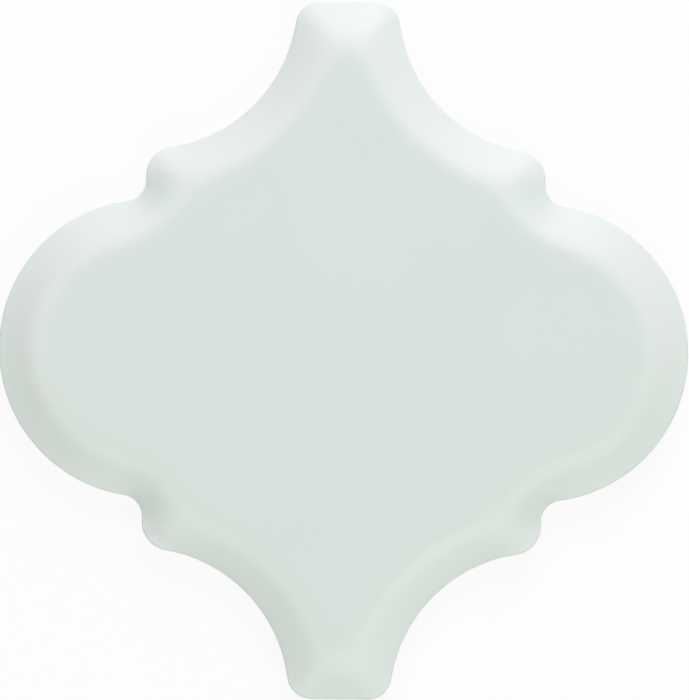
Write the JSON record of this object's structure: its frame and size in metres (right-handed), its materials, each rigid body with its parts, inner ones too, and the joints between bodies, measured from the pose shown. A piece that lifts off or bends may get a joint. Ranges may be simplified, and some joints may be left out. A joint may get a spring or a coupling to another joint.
{
  "type": "arabesque tile",
  "caption": "Arabesque (lantern) wall tile in glazed ceramic with a cushion edge and a keyed back, laid in an interlocking pattern.",
  "frame": {"origin": "middle of the back, in the plane that lies on the adhesive", "axes": "+X to the right-hand lobe, +Y to the upper neck, +Z out of the glazed face"},
  "size_m": [0.1186, 0.12, 0.009],
  "materials": {
    "mint_glaze": "satin pale mint glaze on the face and edge, bare biscuit on the back"
  },
  "bodies": {
    "root": {"arabesque_tile": "mint_glaze"}
  },
  "joints": []
}
